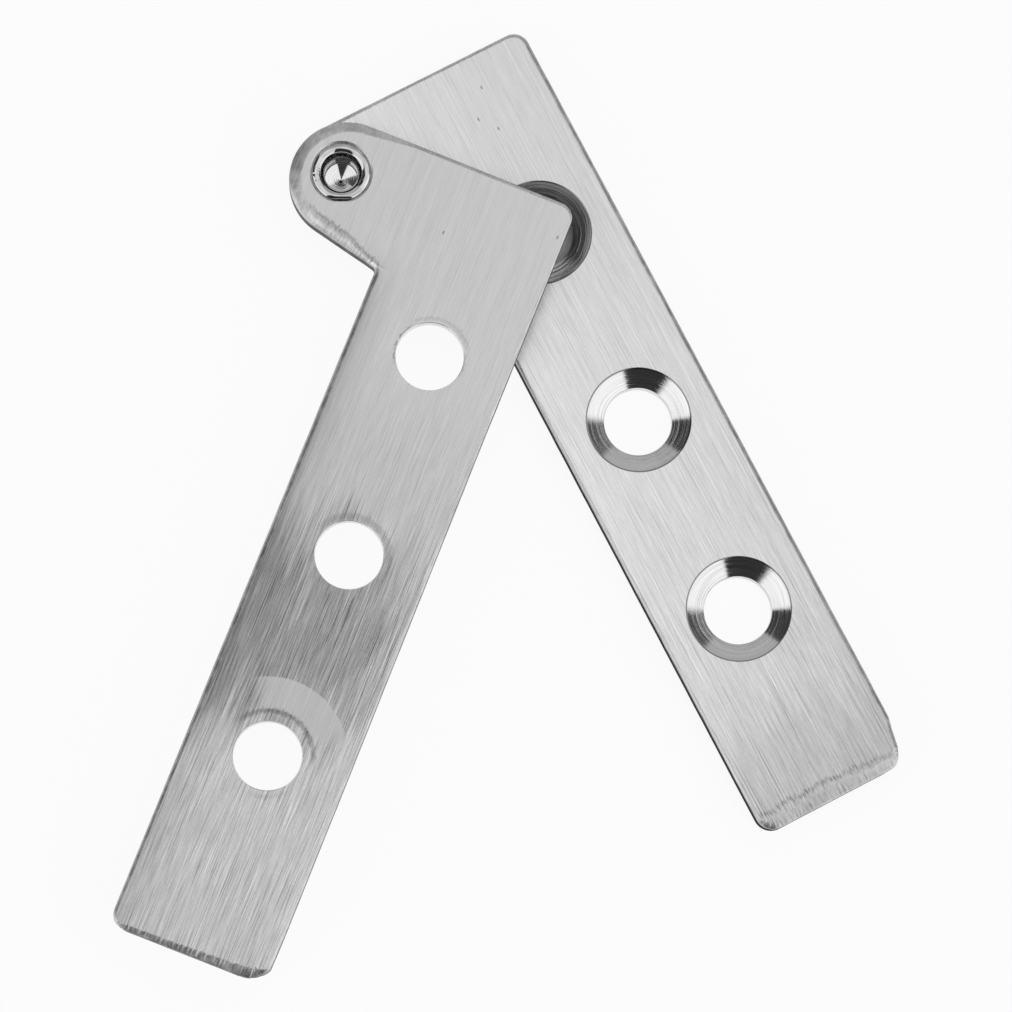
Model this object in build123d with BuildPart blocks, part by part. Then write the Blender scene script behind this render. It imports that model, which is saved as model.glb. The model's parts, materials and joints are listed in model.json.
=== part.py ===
from build123d import *
import math
import os

# Pivot door hinge: two dog-leg steel leaves on one hollow rivet, lying open on its lower leaf.
# Units are millimetres. The origin is on the pivot axis, at the lower leaf's resting face.
# +Z points up through both leaves, and the lower leaf runs along +X.

# Leaf outline, measured from the pivot axis: X along the leaf, Y across it
leaf_length = 75.0
leaf_width = 14.9
leaf_thickness = 2.4
nose_radius = 5.3
nose_centre_x = 0.4
nose_centre_y = 0.8
body_offset = 6.15
flank_angle = 13.0
corner_radius = 1.6
inner_corner_radius = 0.5

# Leaf edges: rolled over all round, and linished down at the free end
edge_rounding = 0.28
end_bevel_length = 0.9
end_bevel_depth = 0.34

# Countersunk screw holes in each leaf
screw_count = 3
first_screw = 12.6
screw_pitch = 19.25
screw_hole_diameter = 6.1
screw_head_diameter = 9.4
screw_head_angle = 110.0

# Turn of the upper leaf from the lower one, clockwise as seen from above
opening_angle = 49.3

# Washer that keeps the leaves apart
washer_thickness = 0.4
washer_diameter = 8.0

# Rivet head and shank
shank_diameter = 4.4
head_diameter = 6.4
head_angle = 90.0
head_recess = 0.05

# Drilled and flared end of the rivet, and the seat it turns in
rivet_bore_diameter = 3.0
rivet_bore_depth = 3.3
drill_point_angle = 150.0
flare_diameter = 5.1
flare_opening_diameter = 3.75
flare_mouth_depth = 1.0
flare_recess = 0.03
lip_inside_drop = 0.15
lip_crown_diameter = 4.2
flare_seat_diameter = 5.6
flare_seat_angle = 90.0

# Clearances, each measured on the radius
running_clearance = 0.06
fixed_clearance = 0.02
washer_clearance = 0.08
flare_lift = 0.03

# Levels up the stack of leaves
lower_top = leaf_thickness
upper_face = lower_top + washer_thickness
upper_top = upper_face + leaf_thickness

# Lines of the outline
top_edge = nose_centre_x - nose_radius
free_end = top_edge + leaf_length
near_edge = body_offset
far_edge = body_offset + leaf_width
screw_row = body_offset + leaf_width / 2

# Where the sloping flank leaves the nose and where it meets the body
slope = math.radians(flank_angle)
flank_start = (nose_centre_x + nose_radius * math.cos(slope), nose_centre_y - nose_radius * math.sin(slope))
flank_end = (flank_start[0] + (near_edge - flank_start[1]) * math.tan(slope), near_edge)


def cone_height(wide_diameter, narrow_diameter, full_angle):
    """Height of a cone that narrows from one diameter to the other."""
    return (wide_diameter - narrow_diameter) / 2 / math.tan(math.radians(full_angle / 2))


def cone_growth(height, full_angle):
    """How much the radius of a cone grows over a height."""
    return height * math.tan(math.radians(full_angle / 2))


# Blank that both leaves start as: the plate with its screw holes, heads up
with BuildPart() as blank:
    with BuildSketch() as outline:
        with BuildLine():
            ThreePointArc(
                (top_edge, nose_centre_y),
                (nose_centre_x, nose_centre_y - nose_radius),
                flank_start,
            )
            Polyline(
                flank_start,
                flank_end,
                (free_end, near_edge),
                (free_end, far_edge),
                (top_edge, far_edge),
                (top_edge, nose_centre_y),
            )
        make_face()
        fillet(outline.vertices().group_by(Axis.X)[-1], corner_radius)
        fillet(outline.vertices().sort_by_distance((top_edge, far_edge))[0], corner_radius)
        fillet(outline.vertices().sort_by_distance(flank_end)[0], inner_corner_radius)
    extrude(amount=leaf_thickness)

    # Rolled edges round both faces
    rims = blank.faces().filter_by(Axis.Z).edges()
    fillet(rims, edge_rounding)

    # Free end linished down on both faces
    with BuildSketch(Plane.XZ) as bevels:
        with BuildLine():
            Polyline(
                (free_end - end_bevel_length, leaf_thickness),
                (free_end, leaf_thickness - end_bevel_depth),
                (free_end, leaf_thickness),
                close=True,
            )
        make_face()
        mirror(about=Plane.XZ.offset(-leaf_thickness / 2))
    extrude(amount=-(far_edge + corner_radius), mode=Mode.SUBTRACT)

    # Screw holes
    with Locations(Plane.XY.offset(leaf_thickness)):
        with Locations(*[(first_screw + i * screw_pitch, screw_row) for i in range(screw_count)]):
            CounterSinkHole(
                radius=screw_hole_diameter / 2,
                counter_sink_radius=screw_head_diameter / 2,
                depth=leaf_thickness,
                counter_sink_angle=screw_head_angle,
            )

# Lower leaf: the rivet's head is let into its resting face
with BuildPart() as lower_leaf:
    add(blank.part)
    with Locations(-Plane.XY):
        CounterSinkHole(
            radius=shank_diameter / 2 + fixed_clearance,
            counter_sink_radius=head_diameter / 2 + fixed_clearance + cone_growth(head_recess, head_angle),
            depth=leaf_thickness,
            counter_sink_angle=head_angle,
        )

# Upper leaf: the blank turned over, swung open, with a seat for the flare in its outer face
with BuildPart() as upper_leaf:
    with Locations(Location((0, 0, upper_top), (0, 0, -opening_angle))):
        add(mirror(blank.part, about=Plane.XY, mode=Mode.PRIVATE))
        CounterSinkHole(
            radius=shank_diameter / 2 + running_clearance,
            counter_sink_radius=flare_seat_diameter / 2,
            depth=leaf_thickness,
            counter_sink_angle=flare_seat_angle,
        )

# Spacer washer between the noses
with BuildPart() as spacer_washer:
    with BuildSketch(Plane.XY.offset(lower_top)):
        Circle(washer_diameter / 2)
        Circle(shank_diameter / 2 + washer_clearance, mode=Mode.SUBTRACT)
    extrude(amount=washer_thickness)

# Pivot rivet, turned about the pivot axis
rivet_top = upper_top - flare_recess
shank_radius = shank_diameter / 2
head_rim = head_recess
head_neck = head_rim + cone_height(head_diameter, shank_diameter, head_angle)
seat_foot = upper_top - cone_height(
    flare_seat_diameter, shank_diameter + 2 * running_clearance, flare_seat_angle
)
flare_foot = seat_foot + flare_lift
flare_rim = flare_foot + cone_height(flare_diameter, shank_diameter, flare_seat_angle)
bore_floor = rivet_top - rivet_bore_depth
drill_tip = bore_floor - cone_height(rivet_bore_diameter, 0, drill_point_angle)
with BuildPart() as pivot_rivet:
    with BuildSketch(Plane.XZ):
        with BuildLine():
            Polyline(
                (0, drill_tip),
                (0, head_rim),
                (head_diameter / 2, head_rim),
                (shank_radius, head_neck),
                (shank_radius, flare_foot),
                (flare_diameter / 2, flare_rim),
            )
            ThreePointArc(
                (flare_diameter / 2, flare_rim),
                (lip_crown_diameter / 2, rivet_top),
                (flare_opening_diameter / 2, rivet_top - lip_inside_drop),
            )
            Polyline(
                (flare_opening_diameter / 2, rivet_top - lip_inside_drop),
                (rivet_bore_diameter / 2, rivet_top - flare_mouth_depth),
                (rivet_bore_diameter / 2, bore_floor),
                (0, drill_tip),
            )
        make_face()
    revolve(axis=Axis.Z)

os.makedirs("parts", exist_ok=True)
lower_leaf.part.label = "lower_leaf"
export_step(lower_leaf.part, "parts/lower_leaf.step")
upper_leaf.part.label = "upper_leaf"
export_step(upper_leaf.part, "parts/upper_leaf.step")
spacer_washer.part.label = "spacer_washer"
export_step(spacer_washer.part, "parts/spacer_washer.step")
pivot_rivet.part.label = "pivot_rivet"
export_step(pivot_rivet.part, "parts/pivot_rivet.step")
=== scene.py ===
import json
import math

import bmesh
import bpy
import numpy as np
from mathutils import Matrix, Vector, noise
from mathutils.geometry import delaunay_2d_cdt


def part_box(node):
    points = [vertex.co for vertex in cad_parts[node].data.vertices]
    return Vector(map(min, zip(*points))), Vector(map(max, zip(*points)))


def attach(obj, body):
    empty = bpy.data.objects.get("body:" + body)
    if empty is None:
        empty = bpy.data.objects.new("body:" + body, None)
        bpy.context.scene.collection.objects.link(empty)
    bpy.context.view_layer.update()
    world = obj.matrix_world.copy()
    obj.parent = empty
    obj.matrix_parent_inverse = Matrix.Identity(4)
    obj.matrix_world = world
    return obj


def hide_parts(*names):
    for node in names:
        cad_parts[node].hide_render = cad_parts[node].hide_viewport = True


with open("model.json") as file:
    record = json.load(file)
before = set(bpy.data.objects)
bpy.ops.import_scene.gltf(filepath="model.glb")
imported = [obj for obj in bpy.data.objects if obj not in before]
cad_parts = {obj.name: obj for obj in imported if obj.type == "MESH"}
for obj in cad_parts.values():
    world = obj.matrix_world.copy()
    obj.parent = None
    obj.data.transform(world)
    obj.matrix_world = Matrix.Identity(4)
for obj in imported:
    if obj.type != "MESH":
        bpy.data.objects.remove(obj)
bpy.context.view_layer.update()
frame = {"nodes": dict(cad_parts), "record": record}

# Pivot door hinge: two brushed steel leaves on one hollow rivet, lying open on a pale floor.
# Lengths below are in millimetres, and this turns them into metres.
MM = 0.001

# Leaf outline that the frame's boxes don't give
NOSE_RADIUS = 5.3
NOSE_CENTRE_X = 0.4
BODY_OFFSET = 6.15
FLANK_ANGLE = math.radians(13.0)
CORNER_RADIUS = 1.6
INNER_CORNER_RADIUS = 0.5

# Countersinks and rivet seats that the frame's mounts don't give
SINK_RADIUS = 4.7
SINK_ANGLE = math.radians(110.0)
FLARE_SEAT_RADIUS = 2.8
SEAT_BORE_RADIUS = 2.26
HEAD_SEAT_RADIUS = 3.27
SHANK_BORE_RADIUS = 2.22

# Rivet: radii, and depths below the outer face of the upper leaf
SHANK_RADIUS = 2.2
BORE_RADIUS = 1.5
BORE_FLOOR = 3.33
BORE_POINT = 3.73
MOUTH_FOOT = 1.03
LIP_INSIDE = (1.875, 0.18)
LIP_CROWN = (2.1, 0.03)
LIP_RIM = (2.62, 0.17)
FLARE_FOOT = 0.51
HEAD_RADIUS = 3.2

# Side on which the flare was hammered flat, and the shares of the radius that this takes off
FLAT_HEADING = math.radians(-27.6)
LIP_CUT = 0.06
SEAT_CUT = 0.045

# Fineness of the meshes
OUTLINE_STEP = 0.1
LEAST_ARC_STEPS = 6
FACE_GRID = 0.5
ROUNDING_RINGS = 7
BORE_SEGMENTS = 180
RIVET_SEGMENTS = 288
CONE_STEP = 0.04

# Extra rings this far from a rounding keep the shading of the face and the wall flat
SUPPORT = 0.04
WALL_SUPPORT = 0.06


def mount(name):
    """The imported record's mount of that name."""
    return next(m for m in frame["record"]["mounts"] if m["name"] == name)


def mount_place(name):
    """A mount's place in millimetres."""
    return Vector(mount(name)["pos_m"]) / MM


def node_box(node):
    """A node's lowest and highest corners in millimetres."""
    low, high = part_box(node)
    return low / MM, high / MM


lower_low, lower_high = node_box("lower_leaf")
thickness = lower_high.z - lower_low.z
top_edge = lower_low.x
free_end = lower_high.x
far_edge = lower_high.y
nose_centre = Vector((NOSE_CENTRE_X, lower_low.y + NOSE_RADIUS))
upper_top = node_box("upper_leaf")[1].z
rivet_foot = node_box("pivot_rivet")[0].z
screws = [mount_place(f"frame_screw_{i}").to_2d() for i in (1, 2, 3)]
screw_radius = mount("frame_screw_1")["dims"]["r_mm"]
door_row = mount_place("door_screw_3") - mount_place("door_screw_1")
opening = math.atan2(-door_row.y, door_row.x)


# Leaf outline

def arc(centre, radius, start, end):
    """Points and outward normals along an arc. A negative radius is an inside corner."""
    count = max(LEAST_ARC_STEPS, math.ceil(abs(radius * (end - start)) / OUTLINE_STEP))
    turns = (start + (end - start) * i / count for i in range(count + 1))
    normals = [Vector((math.cos(a), math.sin(a))) for a in turns]
    return [(centre + radius * n, n) for n in normals]


def outline_corners():
    """The nose and the four other corners of a leaf as arcs, anticlockwise from the top of its nose."""
    quarter = math.pi / 2
    flank_start = nose_centre + NOSE_RADIUS * Vector((math.cos(FLANK_ANGLE), -math.sin(FLANK_ANGLE)))
    flank_foot = flank_start.x + (BODY_OFFSET - flank_start.y) * math.tan(FLANK_ANGLE)
    reach = INNER_CORNER_RADIUS * (1 - math.sin(FLANK_ANGLE)) / math.cos(FLANK_ANGLE)
    inner = Vector((flank_foot + reach, BODY_OFFSET - INNER_CORNER_RADIUS))
    near, far = BODY_OFFSET + CORNER_RADIUS, far_edge - CORNER_RADIUS
    tip, back = free_end - CORNER_RADIUS, top_edge + CORNER_RADIUS
    return [
        arc(nose_centre, NOSE_RADIUS, -2 * quarter, -FLANK_ANGLE),
        arc(inner, -INNER_CORNER_RADIUS, -FLANK_ANGLE, -quarter),
        arc(Vector((tip, near)), CORNER_RADIUS, -quarter, 0),
        arc(Vector((tip, far)), CORNER_RADIUS, 0, quarter),
        arc(Vector((back, far)), CORNER_RADIUS, quarter, 2 * quarter),
    ]


def leaf_outline():
    """Points, outward normals and stations round a leaf, anticlockwise from the top of its nose.

    Stations count the corners: 0 to 1 is the nose, 1 to 2 the flank, 2 to 3 the inside corner,
    3 to 4 the near edge, 5 to 6 the free end, 7 to 8 the far edge and 9 to 10 the top edge.
    """
    corners = outline_corners()
    points, normals, stations = [], [], []
    for i, corner in enumerate(corners):
        last, normal = corner[-1]
        following = corners[(i + 1) % len(corners)][0][0]
        count = max(1, int((following - last).length / OUTLINE_STEP))
        run = [(last.lerp(following, k / count), normal) for k in range(1, count)]
        for start, stretch in ((2 * i, corner), (2 * i + 1, run)):
            for k, (place, outward) in enumerate(stretch):
                points.append(place)
                normals.append(outward)
                stations.append(start + k / len(stretch))
    return np.array(points), np.array(normals), np.array(stations)


OUTLINE, NORMALS, STATIONS = leaf_outline()


# Meshes

def contains(loop, points):
    """Which points lie inside a closed loop, by counting crossings."""
    x, y = points[:, 0], points[:, 1]
    inside = np.zeros(len(points), bool)
    for (x1, y1), (x2, y2) in zip(loop, np.roll(loop, -1, axis=0)):
        if y1 == y2:
            continue
        crosses = (y1 > y) != (y2 > y)
        inside ^= crosses & (x < (x2 - x1) * (y - y1) / (y2 - y1) + x1)
    return inside


def between(rings, points):
    """Which points lie inside the first ring and outside the others."""
    inside = contains(rings[0], points)
    for hole in rings[1:]:
        inside &= ~contains(hole, points)
    return inside


def face_grid(rings):
    """Points of a fine grid inside the first ring and outside the others, none close to any ring."""
    rim = np.vstack(rings)
    low, high = rim.min(0), rim.max(0)
    columns = np.arange(low[0] + FACE_GRID / 2, high[0], FACE_GRID)
    rows = np.arange(low[1] + FACE_GRID / 2, high[1], FACE_GRID)
    grid = np.array([(x, y) for x in columns for y in rows])
    nearest = np.array([np.min(np.sum((rim - p) ** 2, axis=1)) for p in grid])
    return grid[between(rings, grid) & (nearest > (FACE_GRID / 2) ** 2)]


# Points nearer than this count as one
SAME_POINT = 1e-6


class Shell:
    """Vertices and faces of one closed shell, gathered ring by ring."""

    def __init__(self):
        self.verts = []
        self.faces = []
        self.tags = []

    def ring(self, points):
        """Adds points as one ring and returns their numbers."""
        first = len(self.verts)
        self.verts.extend(map(tuple, points))
        return list(range(first, len(self.verts)))

    def strip(self, rings, tag):
        """Joins each ring to the next with quads."""
        for a, b in zip(rings, rings[1:]):
            n = len(a)
            for i in range(n):
                j = (i + 1) % n
                self.faces.append((a[i], a[j], b[j], b[i]))
                self.tags.append(tag)

    def fan(self, ring, centre, tag):
        """Closes a ring onto one point."""
        self.verts.append(tuple(centre))
        last = len(self.verts) - 1
        for i in range(len(ring)):
            self.faces.append((ring[i], ring[(i + 1) % len(ring)], last))
            self.tags.append(tag)

    def flat(self, outer, holes, height, tag):
        """Fills between an outer ring and hole rings with triangles over a fine grid, at height(points)."""
        loops = [outer] + holes
        rings = [np.array([self.verts[i][:2] for i in loop]) for loop in loops]
        grid = face_grid(rings)
        edges, start = [], 0
        for loop in loops:
            numbers = list(range(start, start + len(loop)))
            edges += list(zip(numbers, numbers[1:] + numbers[:1]))
            start += len(loop)
        flat = [Vector(p) for p in np.vstack(rings + [grid])]
        _, _, triangles, originals, _, _ = delaunay_2d_cdt(flat, edges, [], 0, SAME_POINT)
        numbers = [i for loop in loops for i in loop]
        numbers += self.ring(np.column_stack([grid, height(grid)]))
        triangles = [tuple(originals[v][0] for v in t) for t in triangles]
        centres = np.array([np.mean([flat[v] for v in t], axis=0) for t in triangles])
        for t, kept in zip(triangles, between(rings, centres)):
            if kept:
                self.faces.append(tuple(numbers[v] for v in t))
                self.tags.append(tag)

    def build(self, name, materials, place):
        """Makes the object in metres, with its points moved by the matrix place."""
        points = [place @ Vector(v) * MM for v in self.verts]
        mesh = bpy.data.meshes.new(name)
        mesh.from_pydata(points, [], self.faces)
        for material in materials:
            mesh.materials.append(material)
        mesh.polygons.foreach_set("material_index", self.tags)
        mesh.polygons.foreach_set("use_smooth", [True] * len(self.faces))
        work = bmesh.new()
        work.from_mesh(mesh)
        bmesh.ops.recalc_face_normals(work, faces=work.faces)
        work.to_mesh(mesh)
        work.free()
        piece = bpy.data.objects.new(name, mesh)
        bpy.context.scene.collection.objects.link(piece)
        return piece


def circle(centre, radius, height, segments):
    """Ring of points about a vertical axis. Radius and height are numbers or one value per point."""
    turns = np.linspace(0, 2 * math.pi, segments, endpoint=False)
    x = centre[0] + radius * np.cos(turns)
    y = centre[1] + radius * np.sin(turns)
    return np.column_stack([x, y, np.broadcast_to(height, x.shape)])


# Sharpness of the corners beside a flat, and the least cosine that its line uses
FLAT_SHARPNESS = 60
LEAST_COSINE = 0.2


def flattened(radius, cut, turn, segments):
    """Radii of a circle with a share of its radius planed off on one side, the corners eased."""
    turns = np.linspace(0, 2 * math.pi, segments, endpoint=False) - turn
    chord = radius * (1 - cut) / np.maximum(np.cos(turns), LEAST_COSINE)
    return (radius ** -FLAT_SHARPNESS + chord ** -FLAT_SHARPNESS) ** (-1 / FLAT_SHARPNESS)


# Edges of the leaves

# Wear round each face: station, width in from the edge, depth, how ragged the inner boundary is, and
# bevel, the share of the section that is straight and not rounded
UPPER_OUTER_WEAR = [
    (0.0, 0.90, 0.36, 0.06, 0.75),
    (0.35, 1.05, 0.42, 0.05, 0.75),
    (0.65, 1.10, 0.44, 0.04, 0.5),
    (1.0, 1.25, 0.46, 0.08, 0.2),
    (1.4, 1.15, 0.46, 0.15, 0.2),
    (1.9, 0.80, 0.44, 0.18, 0.2),
    (2.6, 0.45, 0.34, 0.10, 0.2),
    (3.02, 0.46, 0.42, 0.12, 0.3),
    (3.6, 0.46, 0.44, 0.12, 0.3),
    (4.0, 0.34, 0.34, 0.10, 0.2),
    (4.5, 0.28, 0.26, 0.10, 0.2),
    (4.95, 0.48, 0.30, 0.22, 0.8),
    (5.5, 0.68, 0.34, 0.22, 0.8),
    (5.9, 0.88, 0.38, 0.20, 0.8),
    (6.2, 0.92, 0.42, 0.15, 0.8),
    (6.5, 0.80, 0.42, 0.15, 0.7),
    (6.8, 0.50, 0.35, 0.10, 0.4),
    (7.05, 0.28, 0.25, 0.10, 0.2),
    (7.1, 0.22, 0.18, 0.10, 0.2),
    (8.2, 0.24, 0.22, 0.10, 0.2),
    (9.0, 0.34, 0.36, 0.05, 0.3),
    (9.75, 0.36, 0.36, 0.05, 0.3),
    (10.0, 0.90, 0.36, 0.06, 0.75),
]
LOWER_OUTER_WEAR = [
    (0.0, 0.45, 0.25, 0.10, 0.2),
    (1.0, 0.60, 0.30, 0.10, 0.2),
    (2.5, 0.40, 0.25, 0.10, 0.2),
    (3.1, 0.26, 0.24, 0.10, 0.2),
    (4.1, 0.34, 0.30, 0.25, 0.2),
    (4.6, 0.80, 0.36, 0.30, 0.2),
    (5.0, 1.00, 0.26, 0.35, 0.1),
    (5.5, 1.10, 0.22, 0.35, 0.1),
    (5.95, 0.90, 0.24, 0.25, 0.1),
    (6.2, 0.70, 0.26, 0.20, 0.1),
    (6.6, 0.60, 0.28, 0.15, 0.2),
    (7.0, 0.42, 0.34, 0.10, 0.3),
    (7.1, 0.45, 0.40, 0.10, 0.4),
    (8.0, 0.42, 0.38, 0.10, 0.4),
    (8.9, 0.34, 0.30, 0.10, 0.2),
    (9.5, 0.30, 0.28, 0.10, 0.2),
    (10.0, 0.40, 0.25, 0.10, 0.2),
]
HIDDEN_WEAR = [
    (0.0, 0.35, 0.28, 0.10, 0.2),
    (4.2, 0.28, 0.26, 0.10, 0.2),
    (4.9, 0.80, 0.34, 0.25, 0.8),
    (5.9, 0.80, 0.34, 0.25, 0.8),
    (6.15, 0.55, 0.30, 0.20, 0.8),
    (6.8, 0.28, 0.26, 0.10, 0.2),
    (10.0, 0.35, 0.28, 0.10, 0.2),
]

# How far each leaf's whole edge was ground back from its nominal outline: station and depth
UPPER_LOSS = [
    (0.0, 0.0), (0.7, 0.02), (1.0, 0.05), (1.9, 0.08), (2.6, 0.02), (3.0, 0.0),
    (4.5, 0.03), (4.8, 0.15), (5.0, 0.10), (5.9, 0.15), (5.97, 0.22), (6.03, 0.40),
    (6.2, 0.46), (6.5, 0.50), (6.8, 0.30), (7.0, 0.11), (7.03, 0.06), (7.25, 0.08),
    (7.4, 0.12), (7.6, 0.16), (7.7, 0.19), (8.0, 0.18), (9.0, 0.02), (10.0, 0.0),
]
LOWER_LOSS = [
    (0.0, 0.0), (5.9, 0.0), (5.99, 0.08), (6.05, 0.20), (6.2, 0.40), (6.5, 0.62),
    (6.75, 0.66), (7.0, 0.56), (7.02, 0.32), (7.035, 0.06), (7.1, 0.04), (7.2, 0.07),
    (7.5, 0.10), (7.8, 0.13), (8.0, 0.18), (8.9, 0.04), (10.0, 0.0),
]

# Teeth of the ragged boundaries, and a slow waver of the whole edge: frequency along and across, and seed
TEETH = (0.5, 5.0, 3.1)
FINE_TEETH = (1.15, 11.5, 7.7)
FINE_TEETH_SHARE = 0.6
WAVER = (0.6, 0.6, 5.5)
WAVER_SIZE = 0.012


def outline_noise(along, across, seed):
    """Smooth noise between about -1 and 1 at each point of the outline."""
    return np.array([noise.noise(Vector((x * along, y * across, seed))) for x, y in OUTLINE])


def edge_rings(shell, wear, loss, level, away, lift):
    """Rings that round one face's rim over, from the flat face to the wall.

    level is the face's height, lift the height of its dents, and away is 1 for the face at the top of
    the wall and -1 for the one at its foot. Returns a ring farther in on the face, and then the others.
    """
    stations, *columns = zip(*wear)
    across, down, ragged, bevel = (np.interp(STATIONS, stations, column) for column in columns)
    teeth = outline_noise(*TEETH) + FINE_TEETH_SHARE * outline_noise(*FINE_TEETH)
    across = across * (1 + ragged * teeth)
    inset = np.interp(STATIONS, *zip(*loss)) + WAVER_SIZE * (1 + outline_noise(*WAVER))
    rings = []
    for turn in np.linspace(0, math.pi / 2, ROUNDING_RINGS + 1):
        inward = across * (1 - math.sin(turn))
        fall = down * (bevel * math.sin(turn) + (1 - bevel) * (1 - math.cos(turn)))
        flat = OUTLINE - NORMALS * (inset + inward)[:, None]
        height = level - away * fall + math.cos(turn) * lift(flat)
        rings.append(shell.ring(np.column_stack([flat, height])))
    rings.append(shell.ring(np.column_stack([flat, level - away * (down + WALL_SUPPORT)])))
    flat = OUTLINE - NORMALS * (inset + across + SUPPORT)[:, None]
    support = shell.ring(np.column_stack([flat, level + lift(flat)]))
    return support, rings


# Bores of the leaves

# Rim of a countersink and the break beside it: reach beyond the cone, and the break's depth
SINK_RIM = 0.07
SINK_BREAK = (0.02, 0.018)

# Worn corner at the cone's foot: reach across and up the cone, and down the bore
CONE_FOOT_ACROSS = 0.012
CONE_FOOT_UP = 0.004
CONE_FOOT_DOWN = 0.03

# Rim of a hole in the plain face: reach, and the middle of its rounding
PLAIN_RIM = 0.06
PLAIN_RIM_MIDDLE = 0.018

# Ridges that the countersinking tool left: place, half width and height
TOOL_RIDGES = [(4.18, 0.05, 0.010), (3.74, 0.06, 0.022), (3.36, 0.05, 0.012)]

# Rivet seats: reach and depth of the rim, and the corner at the cone's foot
SEAT_RIM = 0.04
SEAT_RIM_DEPTH = 0.025
SEAT_FOOT_ACROSS = 0.01
SEAT_FOOT_DOWN = 0.04

# A seat's flat ends this far in and this far down, above where the flare turns
FLAT_END_ACROSS = 0.129
FLAT_END_DOWN = 0.15

# Stations of a seat that its flat takes in, and stations at each end of a profile that lie on a face
FLAT_STATIONS = 3
FACE_STATIONS = 2

# Material slots of a leaf
PLATE, EDGE, TURNED = 0, 1, 2


def countersink_profile():
    """(radius, height) stations of a countersunk screw hole from the head side down to the plain side."""
    slope = math.tan(SINK_ANGLE / 2)
    span = SINK_RADIUS - screw_radius
    depth = span / slope
    rim = SINK_RADIUS + SINK_RIM
    stations = [(rim + SUPPORT, 0), (rim, 0), (SINK_RADIUS + SINK_BREAK[0], -SINK_BREAK[1])]
    for k in range(1, int(span / CONE_STEP)):
        radius = SINK_RADIUS - k * CONE_STEP
        ridge = sum(high * math.exp(-((radius - place) / wide) ** 2) for place, wide, high in TOOL_RIDGES)
        stations.append((radius, ridge - k * CONE_STEP / slope))
    rim = screw_radius + PLAIN_RIM
    return stations + [
        (screw_radius + CONE_FOOT_ACROSS, -depth + CONE_FOOT_UP),
        (screw_radius, -depth - CONE_FOOT_DOWN),
        (screw_radius, -(depth + thickness) / 2),
        (screw_radius, PLAIN_RIM - thickness),
        (screw_radius + PLAIN_RIM_MIDDLE, PLAIN_RIM_MIDDLE - thickness),
        (rim, -thickness),
        (rim + SUPPORT, -thickness),
    ]


def seat_profile(wide, narrow):
    """(radius, height) stations of a rivet seat of 90 degrees and its bore, from its own face down."""
    foot = narrow - wide
    return [
        (wide + SEAT_RIM + SUPPORT, 0),
        (wide + SEAT_RIM, 0),
        (wide, -SEAT_RIM_DEPTH),
        (wide - FLAT_END_ACROSS, -FLAT_END_DOWN),
        (narrow + SEAT_FOOT_ACROSS, foot - SEAT_FOOT_ACROSS),
        (narrow, foot - SEAT_FOOT_DOWN),
        (narrow, SEAT_RIM - thickness),
        (narrow + SEAT_RIM, -thickness),
        (narrow + SEAT_RIM + SUPPORT, -thickness),
    ]


def bore(shell, centre, profile, level, away, lifts, tag=TURNED, flat_turn=None):
    """Cuts a bore through both faces, and returns its rings on the first and the second face.

    level is the first face's height, away is 1 if it looks up and -1 if it looks down, and lifts are
    the dents of both faces. flat_turn is the heading of the seat's flat, if it has one.
    """
    rings = []
    for k, (radius, height) in enumerate(profile):
        if flat_turn is not None and k < FLAT_STATIONS:
            radius = flattened(radius, SEAT_CUT, flat_turn, BORE_SEGMENTS)
        points = circle(centre, radius, level + away * height, BORE_SEGMENTS)
        if k < FACE_STATIONS:
            points[:, 2] += lifts[0](points[:, :2])
        if k >= len(profile) - FACE_STATIONS:
            points[:, 2] += lifts[1](points[:, :2])
        rings.append(shell.ring(points))
    shell.strip(rings[:2], PLATE)
    shell.strip(rings[1:-1], tag)
    shell.strip(rings[-2:], PLATE)
    return rings[0], rings[-1]


# Leaves

# Dishes round the upper leaf's screw holes: which hole, reach from its axis, and depth at its rim
DISHES = [(2, 7.1, 0.06), (1, 4.2, 0.03), (0, 3.9, 0.02)]
DISH_CURVE = 1.3


def level_face(points):
    """A face with no dents."""
    return np.zeros(len(points))


def dished_face(points):
    """Outer face of the upper leaf, drawn in a little round its screw holes."""
    depth = np.zeros(len(points))
    for hole, reach, drop in DISHES:
        away = np.hypot(points[:, 0] - screws[hole].x, points[:, 1] - screws[hole].y)
        share = np.clip((reach - away) / (reach - screw_radius), 0, 1)
        depth += drop * share ** DISH_CURVE
    return depth


def leaf(name, wear_head, wear_plain, loss, lift_plain, pivot_profile, flat_turn, materials, place):
    """One leaf as a closed shell. Its screw heads sink into the face at the top, before place moves it.

    The rivet's seat opens in the face at the foot.
    """
    shell = Shell()
    top_support, top = edge_rings(shell, wear_head, loss, thickness, 1, level_face)
    foot_support, foot = edge_rings(shell, wear_plain, loss, 0.0, -1, lift_plain)
    shell.strip([top_support, top[0]], PLATE)
    shell.strip(top + foot[::-1], EDGE)
    shell.strip([foot[0], foot_support], PLATE)
    lifts = (level_face, lift_plain)
    holes = [bore(shell, centre, countersink_profile(), thickness, 1, lifts) for centre in screws]
    seat = bore(shell, (0, 0), pivot_profile, 0.0, -1, lifts[::-1], EDGE, flat_turn)
    head_holes, plain_holes = map(list, zip(*holes, seat[::-1]))
    shell.flat(top_support, head_holes, lambda points: np.full(len(points), thickness), PLATE)
    shell.flat(foot_support, plain_holes, lift_plain, PLATE)
    return shell.build(name, materials, place)


def lower_leaf(materials):
    """The lower leaf, heads up, with the seat of the rivet's head in its resting face."""
    seat = seat_profile(HEAD_SEAT_RADIUS, SHANK_BORE_RADIUS)
    return leaf("lower_leaf_plate", LOWER_OUTER_WEAR, HIDDEN_WEAR, LOWER_LOSS, level_face,
                seat, None, materials, Matrix())


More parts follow.
